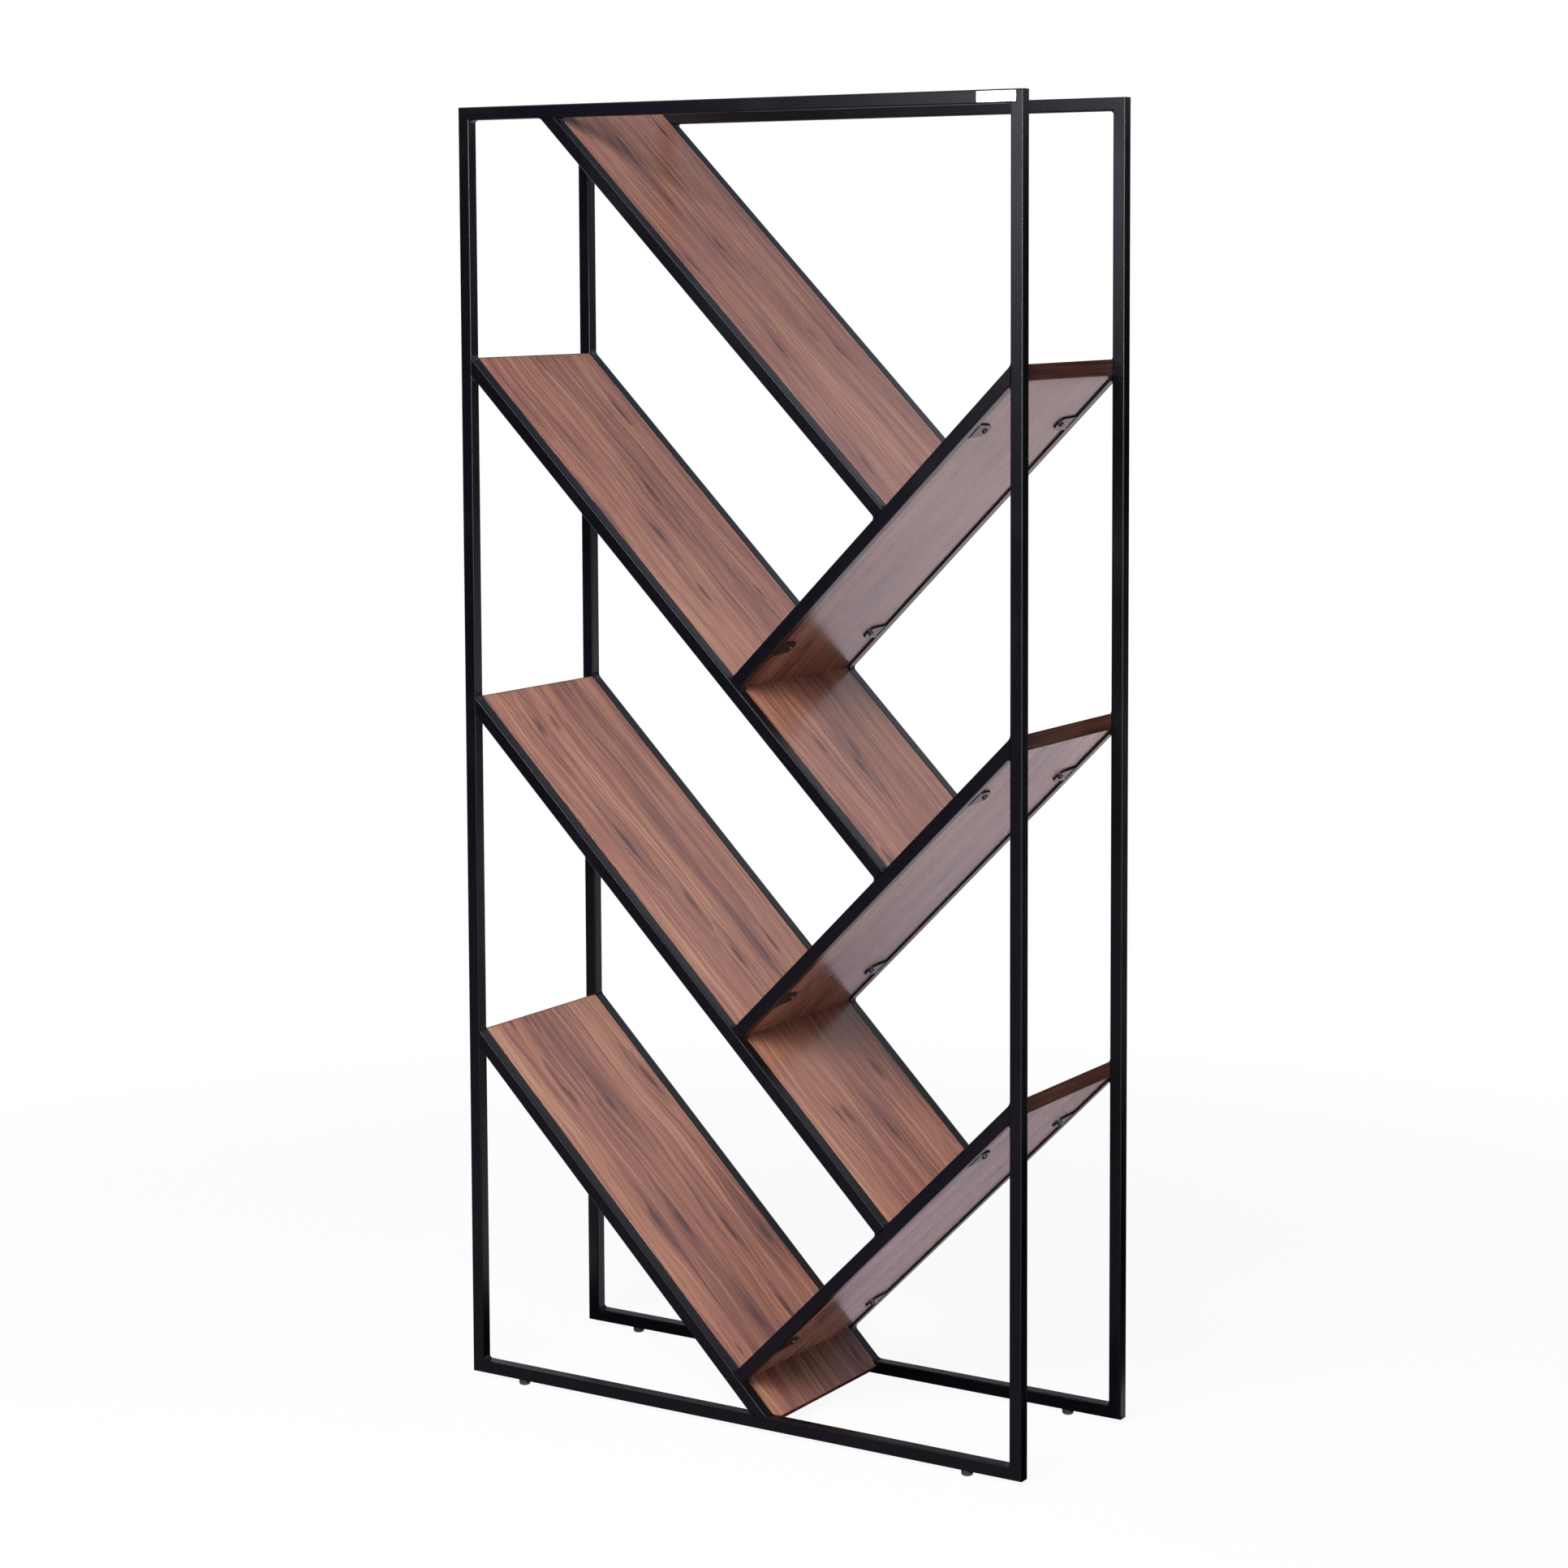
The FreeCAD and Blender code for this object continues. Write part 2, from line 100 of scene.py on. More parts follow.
class WalnutFinish(bpy.types.PropertyGroup):
    """Walnut veneer of the boards and the bands on their ends."""

    dark: colour("Dark streak", "Dark streaks of the veneer", (0.138, 0.056, 0.049))
    middle: colour("Ground", "Common tone of the veneer", (0.310, 0.130, 0.088))
    pale: colour("Pale streak", "Tan streaks of the veneer", (0.450, 0.240, 0.150))
    fleck: colour("Fleck", "Small dark marks in the grain", (0.085, 0.034, 0.028))
    band: colour("Band", "Edge bands", (0.175, 0.064, 0.043))
    band_dark: colour("Band, dark", "Dark lines in the edge bands", (0.055, 0.018, 0.012))
    roughness: share("Lacquer roughness", "Roughness of the satin lacquer", 0.24)


class Fittings(bpy.types.PropertyGroup):
    """Small pieces that are made here."""

    thread_pitch: length("Thread pitch", "Pitch of the thread on the foot studs", 0.001)
    thread_depth: length("Thread depth", "Depth of that thread", 0.00055)
    bead_width: length("Bead width", "Weld bead at the root of a tab", 0.0052)
    bead_height: length("Bead height", "Bead above the tab", 0.0007)
    bead_ripple: length("Bead ripple", "Distance between ripples of the bead", 0.0019)
    plate_width: length("Plate width", "Blank plate on the front top rail", 0.057)
    plate_height: length("Plate height", "Height of the blank plate", 0.0140)
    plate_radius: length("Plate corner", "Corner radius of the blank plate", 0.0012)
    plate_thickness: length("Plate thickness", "Thickness of the blank plate", 0.0001)
    plate_inset: length("Plate inset", "Blank plate in from the right side of the frame", 0.010)
    plate: colour("Plate colour", "Blank plate", (0.86, 0.87, 0.90))
    glide: colour("Glides", "Moulded plastic of the feet", (0.012, 0.012, 0.013))


class Studio(bpy.types.PropertyGroup):
    """Camera, light and floor."""

    camera_place: bpy.props.FloatVectorProperty(
        name="Camera", description="Where the camera stands", subtype="TRANSLATION", unit="LENGTH", size=3,
        default=(2.53077, -4.05282, 1.58914))
    camera_yaw: bpy.props.FloatProperty(name="Yaw", description="Camera turned to the left of straight on",
                                        subtype="ANGLE", default=math.radians(32.064))
    camera_pitch: bpy.props.FloatProperty(name="Pitch", description="Camera tilted down", subtype="ANGLE",
                                          default=math.radians(4.883))
    camera_roll: bpy.props.FloatProperty(name="Roll", description="Camera turned about its own axis",
                                         subtype="ANGLE", default=math.radians(-0.258))
    focal_pixels: bpy.props.FloatProperty(name="Focal length", description="In pixels of the photograph",
                                          default=4292.03)
    axis_row: bpy.props.FloatProperty(name="Axis row", description="Pixel row that the lens axis meets",
                                      default=691.8)
    ambient: share("Ambient", "Light from all round on rough surfaces", 0.07)
    floor: colour("Floor", "Floor by the shelf, as other surfaces see it", (0.75, 0.75, 0.75))
    floor_far: colour("Floor, far", "Floor away from the shelf", (0.14, 0.14, 0.14))
    floor_glow: share("Floor glow", "Share of the floor's white that no shadow darkens", 0.93)


class ShelfProperties(bpy.types.PropertyGroup):
    """Everything that a user would change."""

    steel: bpy.props.PointerProperty(type=SteelFinish)
    walnut: bpy.props.PointerProperty(type=WalnutFinish)
    fittings: bpy.props.PointerProperty(type=Fittings)
    studio: bpy.props.PointerProperty(type=Studio)


class Shade:
    """A shader socket whose arithmetic adds Math nodes to its tree."""

    def __init__(self, tree, made=None, output=0):
        self.tree = tree
        self.made = made
        self.output = output

    def node(self, kind, settings=None, inputs=None, output=0):
        """Add any node: its settings first, a ramp's stops among them, then socket values or links.

        output is the number or the name of the socket that the new Shade stands for.
        """
        made = self.tree.nodes.new(kind)
        for key, value in (settings or {}).items():
            if key == "stops":
                elements = made.color_ramp.elements
                for place, _ in value[2:]:
                    elements.new(place)
                for element, (place, tone) in zip(elements, value):
                    element.position = place
                    element.color = (*tone, 1.0)
            else:
                setattr(made, key, value)
        for key, value in (inputs or {}).items():
            if isinstance(value, Shade):
                self.tree.links.new(value.made.outputs[value.output], made.inputs[key])
            else:
                made.inputs[key].default_value = value
        return Shade(self.tree, made, output)

    def math(self, operation, *terms):
        """Math node on numbers or sockets."""
        return self.node("ShaderNodeMath", {"operation": operation}, dict(enumerate(terms)))

    def other(self, output):
        """Another output of the same node."""
        return Shade(self.tree, self.made, output)

    def __add__(self, value):
        return self.math("ADD", self, value)

    __radd__ = __add__

    def __sub__(self, value):
        return self.math("SUBTRACT", self, value)

    def __rsub__(self, value):
        return self.math("SUBTRACT", value, self)

    def __mul__(self, value):
        return self.math("MULTIPLY", self, value)

    __rmul__ = __mul__

    def vector(self, x, y, z):
        """Vector of three sockets or numbers."""
        return self.node("ShaderNodeCombineXYZ", None, {"X": x, "Y": y, "Z": z})

    def noise(self, place, scale=1.0, detail=2.0, roughness=0.5):
        """Noise from 0 to 1, centred on one half."""
        return self.node("ShaderNodeTexNoise", None,
                         {"Vector": place, "Scale": scale, "Detail": detail, "Roughness": roughness})

    def step(self, value, low, high):
        """0 below low, 1 above high, smooth between; falls where low is above high."""
        return self.node("ShaderNodeMapRange", {"interpolation_type": "SMOOTHSTEP"},
                         {"Value": value, "From Min": min(low, high), "From Max": max(low, high),
                          "To Min": float(low > high), "To Max": float(low < high)})

    def mix(self, factor, first, second):
        """Colour between first and second, with sockets by number because their names repeat."""
        pair = [value if isinstance(value, Shade) else (*value, 1.0) for value in (first, second)]
        return self.node("ShaderNodeMix", {"data_type": "RGBA"}, {0: factor, 6: pair[0], 7: pair[1]}, 2)

    def bump(self, height, distance, strength=1.0):
        """Normal for a height in units of distance."""
        return self.node("ShaderNodeBump", None,
                         {"Strength": strength, "Distance": distance, "Height": height})


def new_material(name):
    """Empty material and the Shade that starts its tree."""
    material = bpy.data.materials.new(name)
    material.use_nodes = True
    material.node_tree.nodes.clear()
    return material, Shade(material.node_tree)


def principled(shade, inputs):
    """Principled surface on the material's output."""
    surface = shade.node("ShaderNodeBsdfPrincipled", None, inputs)
    shade.node("ShaderNodeOutputMaterial", None, {"Surface": surface})


def object_place(shade):
    """Place on the surface in metres, which is the model's own, and its X, Y and Z."""
    place = shade.node("ShaderNodeTexCoord", None, None, "Object")
    x = shade.node("ShaderNodeSeparateXYZ", None, {"Vector": place}, "X")
    return place, x, x.other("Y"), x.other("Z")


def powder_coat(name, finish):
    """Near-black coat: fine grain in bump and roughness, with soft paler patches of handling."""
    material, shade = new_material(name)
    place = object_place(shade)[0]
    grain = shade.noise(place, 1.0 / finish.coat_grain, 2.0, 0.6)
    flow = shade.noise(place, 0.22 / finish.coat_grain, 1.0, 0.5)
    patch = shade.step(shade.noise(place, 7.0, 4.0, 0.62), 0.46, 0.74)
    speck = shade.step(grain, 0.60, 0.74)
    tone = shade.mix(patch * 0.30 + speck * 0.30, tuple(finish.coat), tuple(finish.coat_worn))
    roughness = finish.coat_roughness + (grain - 0.5) * 0.08 + patch * 0.06
    principled(shade, {"Base Color": tone, "Roughness": roughness, "Specular IOR Level": 0.34,
                       "Normal": shade.bump(grain + flow, 0.000004)})
    return material


def walnut(name, finish, rising, seed):
    """Veneer with its grain along a 45 degree board, rising to the right or falling.

    The distance along the board is (x + z) or (x - z) over root 2. Noise that is long along the
    board and narrow across it gives streaks at four widths, bent by a slow wander across the grain.
    Cells of a stretched Voronoi pattern hold short dark flecks that the streaks part to go round, and
    fine noise is the open pores.
    """
    material, shade = new_material(name)
    _, x, y, z = object_place(shade)
    along = (x + z if rising else x - z) * DIAGONAL + seed * 1.7
    wander = shade.noise(shade.vector(along * 2.4, y * 5.0, seed), 1.0, 2.0, 0.5) - 0.5
    ripple = shade.noise(shade.vector(along * 7.0, y * 16.0, seed + 2.0), 1.0, 1.0, 0.5) - 0.5
    bent = y + wander * 0.045 + ripple * 0.009
    cells_along, cells_across = 4.6, 17.0  # in a metre
    cells = shade.node("ShaderNodeTexVoronoi", {"voronoi_dimensions": "2D"},
                       {"Vector": shade.vector(along * cells_along, bent * cells_across, seed),
                        "Scale": 1.0, "Randomness": 1.0})
    chance = shade.node("ShaderNodeSeparateColor", None, {"Color": cells.other("Color")})
    chosen = shade.step(chance, 0.36, 0.46)
    halo = shade.step(cells, 0.60, 0.04) * chosen
    middle = shade.node("ShaderNodeSeparateXYZ", None, {"Vector": cells.other("Position")}, "Y")
    across = bent - halo * (bent - middle * (1 / cells_across)) * 0.75

    def streak(long, narrow, shift, detail=2.0):
        return shade.noise(shade.vector(along * long, across * narrow, seed + shift), 1.0, detail, 0.6)

    broad = streak(1.2, 14.0, 5.0)
    figure = streak(2.2, 60.0, 11.0)
    line = streak(4.2, 230.0, 17.0)
    hair = streak(12.0, 850.0, 23.0)
    fleck = shade.step(cells + (line - 0.5) * 0.22 + (hair - 0.5) * 0.12, 0.13, 0.03) * chosen
    pore = shade.step(streak(26.0, 1500.0, 31.0, 0.0), 0.60, 0.74)
    tone = ((broad - 0.5) * 0.55 + (figure - 0.5) * 0.60 + (line - 0.5) * 0.95 + (hair - 0.5) * 0.95
            + 0.5)
    ramp = shade.node("ShaderNodeValToRGB", {"stops": (
        (0.20, tuple(finish.dark)), (0.50, tuple(finish.middle)), (0.82, tuple(finish.pale)))},
        {"Fac": tone - halo * 0.13 - pore * 0.10})
    tinted = shade.mix(fleck * 0.85, ramp, tuple(finish.fleck))
    principled(shade, {"Base Color": tinted,
                       "Roughness": finish.roughness + (hair - 0.5) * 0.10 + pore * 0.12,
                       "Normal": shade.bump(hair * 0.6 - pore, 0.000006)})
    return material


def band_veneer(name, finish):
    """Dark edge band whose grain runs from front to rear."""
    material, shade = new_material(name)
    _, x, y, z = object_place(shade)
    height = z + (shade.noise(shade.vector(x, y * 5.0, z * 3.0), 1.0, 1.0) - 0.5) * 0.006
    line = shade.noise(shade.vector(x * 40.0, y * 4.0, height * 420.0), 1.0, 2.0, 0.55)
    hair = shade.noise(shade.vector(x * 90.0, y * 16.0, height * 1500.0), 1.0, 1.0, 0.5)
    tone = shade.mix(shade.step(line * 0.7 + hair * 0.3, 0.36, 0.64), tuple(finish.band_dark),
                     tuple(finish.band))
    principled(shade, {"Base Color": tone, "Roughness": 0.34 + (hair - 0.5) * 0.2,
                       "Normal": shade.bump(line, 0.00008)})
    return material


def zinc(name, tone, roughness):
    """Plated steel with a faint mottle of the plating."""
    material, shade = new_material(name)
    place = object_place(shade)[0]
    mottle = shade.noise(place, 900.0, 3.0, 0.6)
    shaded = shade.mix(shade.step(mottle, 0.35, 0.7), tuple(tone), tuple(0.6 * c for c in tone))
    principled(shade, {"Base Color": shaded, "Metallic": 1.0, "Roughness": roughness + (mottle - 0.5) * 0.2,
                       "Normal": shade.bump(mottle, 0.00003)})
    return material


def moulded(name, tone):
    """Spark-textured plastic, a little shinier where the floor has rubbed it."""
    material, shade = new_material(name)
    place, _, _, z = object_place(shade)
    spark = shade.noise(place, 2600.0, 2.0, 0.6)
    rubbed = shade.step(z, 0.0035, 0.0)
    shaded = shade.mix(spark * 0.5 + rubbed * 0.3, tuple(tone), tuple(2.2 * c for c in tone))
    principled(shade, {"Base Color": shaded, "Roughness": 0.55 + (spark - 0.5) * 0.2 - rubbed * 0.15,
                       "Normal": shade.bump(spark, 0.00004)})
    return material


def blank_enamel(name, tone):
    """Plain pale plate with a faint haze of dust."""
    material, shade = new_material(name)
    place = object_place(shade)[0]
    haze = shade.noise(place, 160.0, 4.0, 0.6)
    shaded = shade.mix(haze * 0.4, tuple(tone), tuple(0.88 * c for c in tone))
    principled(shade, {"Base Color": shaded, "Roughness": 0.30 + (haze - 0.5) * 0.2})
    return material


def paint(names, material):
    """Give CAD nodes a material."""
    for name in names:
        slots = NODES[name].data.materials
        slots.clear()
        slots.append(material)


def shell(rings):
    """Points and faces of a closed surface through a stack of closed rings.

    rings has the shape (ring, point, 3). Neighbouring rings are joined by quads and the first and
    last ring are closed by fans to their middles. The winding is turned if the volume is negative.
    """
    count, around = rings.shape[:2]
    index = np.arange(count * around).reshape(count, around)
    following = np.roll(index, -1, axis=1)
    quads = np.stack([index[:-1], following[:-1], following[1:], index[1:]], -1).reshape(-1, 4)
    first = np.full(around, count * around)
    caps = np.concatenate([np.stack([first, following[0], index[0]], -1),
                           np.stack([first + 1, index[-1], following[-1]], -1)])
    points = np.concatenate([rings.reshape(-1, 3), rings[0].mean(0)[None], rings[-1].mean(0)[None]])
    triangles = np.concatenate([quads[:, :3], quads[:, [0, 2, 3]], caps])
    a, b, c = (points[triangles[:, i]] for i in range(3))
    if np.einsum("ij,ij->i", a, np.cross(b, c)).sum() < 0:
        quads, caps = quads[:, ::-1], caps[:, ::-1]
    return points, quads, caps


def new_piece(name, shells, material, body, sharp=math.radians(40)):
    """One object from several shells, riding on a body of the frame."""
    points, faces, offset = [], [], 0
    for spots, quads, caps in shells:
        points.append(spots)
        faces += (quads + offset).tolist() + (caps + offset).tolist()
        offset += len(spots)
    mesh = bpy.data.meshes.new(name)
    mesh.from_pydata(np.concatenate(points).tolist(), [], faces)
    mesh.validate()
    mesh.materials.append(material)
    mesh.shade_smooth()
    mesh.set_sharp_from_angle(angle=sharp)
    piece = bpy.data.objects.new(name, mesh)
    bpy.context.scene.collection.objects.link(piece)
    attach(piece, body)
    return piece


def thread_rings(node, fittings):
    """Rings of a stud whose radius follows a triangle wave of the height over the pitch less the turn.

    The thread fades out over one pitch at both ends, where the stud is chamfered to the root.
    """
    low, high = (np.array(corner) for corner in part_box(node))
    middle = (low + high) / 2
    radius = (high[0] - low[0]) / 2
    turn = np.linspace(0, 2 * np.pi, THREAD_POINTS, endpoint=False)
    rings = int((high[2] - low[2]) / fittings.thread_pitch * THREAD_RINGS) + 1
    rise = np.linspace(low[2], high[2], rings)
    turn, rise = np.meshgrid(turn, rise)
    phase = (rise / fittings.thread_pitch - turn / (2 * np.pi)) % 1.0
    root = radius - fittings.thread_depth
    chamfer = np.minimum(rise - low[2], high[2] - rise) / fittings.thread_pitch
    width = root + fittings.thread_depth * np.minimum(np.abs(2 * phase - 1), np.clip(chamfer, 0, 1))
    return np.stack([middle[0] + width * np.cos(turn), middle[1] + width * np.sin(turn), rise], -1)


def tab_roots(node, rising):
    """Roots of one node's tabs: their middles, half widths, distance from y = 0, and underside.

    The middles lie along the board: (x - z) over root 2 on a slope and (x + z) over root 2 on a
    return. The underside is a lift square to that: (x + z) and (z - x) over root 2.
    """
    mesh = NODES[node].data
    spots = np.empty(len(mesh.vertices) * 3)
    mesh.vertices.foreach_get("co", spots)
    x, y, z = spots.reshape(-1, 3).T
    along, lift = ((x + z, z - x) if rising else (x - z, x + z))
    along, lift = along * DIAGONAL, lift * DIAGONAL
    reach = np.abs(y).max()
    ends = np.unique(np.round(along[np.abs(y) > reach - 1e-5], 4))
    return (ends[0::2] + ends[1::2]) / 2, (ends[1::2] - ends[0::2]) / 2, reach, lift.min()


def bead_rings(centre, half, side, underside, rising, fittings):
    """Rings of one weld bead: a flat oval whose width and height swell with each ripple.

    The oval's size follows the root of 1 - (distance / half length) to the sixth, so the bead ends
    are blunt, times 1 plus a share of the size of a sine that has one hump in each ripple.
    """
    run = np.linspace(-half, half, BEAD_RINGS)[:, None]
    turn = np.linspace(0, 2 * np.pi, BEAD_POINTS, endpoint=False)[None, :]
    thinnest, ripple = 0.0004, 0.14
    blunt = np.sqrt(np.clip(1.0 - (run / half) ** 6, thinnest, None))
    swell = blunt * (1.0 + ripple * np.abs(np.sin(np.pi * run / fittings.bead_ripple)))
    y = side + 0.5 * fittings.bead_width * swell * np.cos(turn) * 0.87
    lift = underside - fittings.bead_height * (swell * np.sin(turn) * 1.2 - 0.15)
    along = centre + run * 0.94 + 0 * turn
    x, z = ((along - lift, along + lift) if rising else (along + lift, lift - along))
    return np.stack([x * DIAGONAL, y, z * DIAGONAL], -1)


def plate_rings(fittings):
    """Rings of a rounded rectangle: the back, the front edge, and the front drawn in by a bevel.

    A point of the outline is the middle of its corner's arc plus the radius along the point's turn.
    """
    low, high = (np.array(corner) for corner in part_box("front_top_rail"))
    turn = np.linspace(0, 2 * np.pi, PLATE_POINTS, endpoint=False) + np.pi / PLATE_POINTS
    outward = np.stack([np.cos(turn), np.sin(turn)], -1)
    half = np.array([fittings.plate_width, fittings.plate_height]) / 2
    centre = np.array([high[0] - fittings.plate_inset - half[0], (low[2] + high[2]) / 2])
    arcs = centre + np.sign(outward) * (half - fittings.plate_radius)
    thickness = fittings.plate_thickness
    bevel = thickness / 2

    def ring(inset, out):
        flat = arcs + (fittings.plate_radius - inset) * outward
        return np.stack([flat[:, 0], np.full(PLATE_POINTS, low[1] - out), flat[:, 1]], -1)

    return np.stack([ring(0, 0), ring(0, thickness - bevel), ring(bevel, thickness)])


class SHELF_OT_coat_frames(bpy.types.Operator):
    """Powder-coat the tubes, their welds and the tabs"""

    bl_idname = "shelf.coat_frames"
    bl_label = "Coat the frames"
    bl_options = {"REGISTER", "UNDO"}

    def execute(self, context):
        steel = context.scene.zigzag_shelf.steel
        frame_ends = ("_upright", "_rail", "_slope", "_return", "_weld_fillets")
        paint([n for n in NODES if n.endswith(frame_ends)], powder_coat("powder_coat_tube", steel))
        paint([n for n in NODES if n.endswith("_tabs")], powder_coat("powder_coat_tab", steel))
        return {"FINISHED"}


class SHELF_OT_veneer_boards(bpy.types.Operator):
    """Lay walnut veneer on the boards, each from its own part of the sheet"""

    bl_idname = "shelf.veneer_boards"
    bl_label = "Veneer the boards"
    bl_options = {"REGISTER", "UNDO"}

    def execute(self, context):
        finish = context.scene.zigzag_shelf.walnut
        for number, (board, rising) in enumerate(BOARDS, start=1):
            paint([f"{board}_board"], walnut(f"walnut_{board}", finish, rising, 3.1 * number))
        return {"FINISHED"}


class SHELF_OT_band_ends(bpy.types.Operator):
    """Put the dark bands on the board ends"""

    bl_idname = "shelf.band_ends"
    bl_label = "Band the board ends"
    bl_options = {"REGISTER", "UNDO"}

    def execute(self, context):
        finish = context.scene.zigzag_shelf.walnut
        paint([n for n in NODES if n.endswith("_band")], band_veneer("band_veneer", finish))
        return {"FINISHED"}


class SHELF_OT_plate_fasteners(bpy.types.Operator):
    """Plate the screws and the nuts"""

    bl_idname = "shelf.plate_fasteners"
    bl_label = "Plate the fasteners"
    bl_options = {"REGISTER", "UNDO"}

    def execute(self, context):
        steel = context.scene.zigzag_shelf.steel
        paint(["board_screws"], zinc("dark_zinc", steel.screw, 0.38))
        paint(["foot_nuts"], zinc("bright_zinc_nut", steel.zinc, 0.30))
        return {"FINISHED"}


class SHELF_OT_mould_glides(bpy.types.Operator):
    """Give the glides their moulded surface"""

    bl_idname = "shelf.mould_glides"
    bl_label = "Mould the glides"
    bl_options = {"REGISTER", "UNDO"}

    def execute(self, context):
        tone = context.scene.zigzag_shelf.fittings.glide
        paint([f"{foot}_glide" for foot in FEET], moulded("moulded_glide", tone))
        return {"FINISHED"}


class SHELF_OT_cut_threads(bpy.types.Operator):
    """Replace the plain studs of the feet by threaded ones"""

    bl_idname = "shelf.cut_threads"
    bl_label = "Cut the stud threads"
    bl_options = {"REGISTER", "UNDO"}

    def execute(self, context):
        shelf = context.scene.zigzag_shelf
        material = zinc("bright_zinc_stud", shelf.steel.zinc, 0.26)
        for foot in FEET:
            rings = thread_rings(f"{foot}_stud", shelf.fittings)
            piece = new_piece(f"{foot}_thread", [shell(rings)], material, f"{foot}_foot")
            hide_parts(f"{foot}_stud")
        return {"FINISHED"}


class SHELF_OT_bead_tabs(bpy.types.Operator):
    """Run a weld bead along the root of each tab"""

    bl_idname = "shelf.bead_tabs"
    bl_label = "Bead the tabs"
    bl_options = {"REGISTER", "UNDO"}

    def execute(self, context):
        shelf = context.scene.zigzag_shelf
        material = powder_coat("powder_coat_bead", shelf.steel)
        for board, rising in BOARDS:
            centres, halves, reach, underside = tab_roots(f"{board}_tabs", rising)
            beads = [shell(bead_rings(centre, half, side, underside, rising, shelf.fittings))
                     for centre, half in zip(centres, halves) for side in (-reach, reach)]
            new_piece(f"{board}_tab_beads", beads, material, "shelf")
        return {"FINISHED"}


class SHELF_OT_fix_plate(bpy.types.Operator):
    """Fix the blank plate to the front top rail"""

    bl_idname = "shelf.fix_plate"
    bl_label = "Fix the blank plate"
    bl_options = {"REGISTER", "UNDO"}

    def execute(self, context):
        fittings = context.scene.zigzag_shelf.fittings
        material = blank_enamel("blank_plate", fittings.plate)
        new_piece("blank_plate", [shell(plate_rings(fittings))], material, "shelf",
                  PLATE_SHARP)
        return {"FINISHED"}


def flat_card(name, centre, facing, width, height, material):
    """Upright or lying card that faces a point."""
    middle = Vector(centre)
    away = (Vector(facing) - middle).normalized()
    across = away.cross(Vector((0, 0, 1))).normalized() * width / 2
    up = across.cross(away).normalized() * height / 2
    corners = [middle - across - up, middle + across - up, middle + across + up, middle - across + up]
    mesh = bpy.data.meshes.new(name)
    mesh.from_pydata(corners, [], [(0, 1, 2, 3)])
    mesh.materials.append(material)
    card = bpy.data.objects.new(name, mesh)
    bpy.context.scene.collection.objects.link(card)
    return card


def softbox(name, centre, facing, width, height, radiance, tint=WHITE, lighting=True, mirrored=True):
    """Area lamp whose face has the given radiance, 1 being white.

    It lights rough surfaces, shows in glossy ones, or both.
    """
    lamp = bpy.data.lights.new(name, "AREA")
    lamp.shape = "RECTANGLE"
    lamp.size, lamp.size_y = width, height
    lamp.energy = radiance * width * height * math.pi
    lamp.color = tint
    light = bpy.data.objects.new(name, lamp)
    light.location = centre
    light.rotation_euler = (Vector(facing) - Vector(centre)).to_track_quat("-Z", "Y").to_euler()
    light.visible_diffuse = lighting
    light.visible_glossy = mirrored
    bpy.context.scene.collection.objects.link(light)


def seen_directly(shade):
    """1 for rays of the camera, of gloss and of transmission, else 0."""
    seen = shade.node("ShaderNodeLightPath", None, None, "Is Camera Ray")
    either = seen + seen.other("Is Glossy Ray") + seen.other("Is Transmission Ray")
    return shade.math("MINIMUM", either, 1.0)


def floor_paint(studio):
    """Floor that looks white, keeps a soft shadow, and lights what stands on it as a pale floor.

    Both fades go by the square of the distance from the middle.
    """
    material, shade = new_material("studio_floor")
    white = shade.node("ShaderNodeEmission", None, {"Color": (*WHITE, 1.0), "Strength": 1.0})
    _, x, y, _ = object_place(shade)
    square = x * x + y * y
    near, dim = (shade.node("ShaderNodeBsdfDiffuse", None, {"Color": (*tone, 1.0)})
                 for tone in (studio.floor, studio.floor_far))
    plain = shade.node("ShaderNodeMixShader", None, {0: shade.step(square, 1.5, 6.0), 1: near, 2: dim})
    glow = studio.floor_glow + shade.step(square, 0.6, 6.0) * (1.0 - studio.floor_glow)
    surface = shade.node("ShaderNodeMixShader", None, {0: seen_directly(shade) * glow, 1: plain, 2: white})
    shade.node("ShaderNodeOutputMaterial", None, {"Surface": surface})
    return material


def card_paint(name, tone):
    """Even tone of one of the studio's cards."""
    material, shade = new_material(name)
    even = shade.node("ShaderNodeEmission", None, {"Color": (*tone, 1.0), "Strength": 1.0})
    shade.node("ShaderNodeOutputMaterial", None, {"Surface": even})
    return material


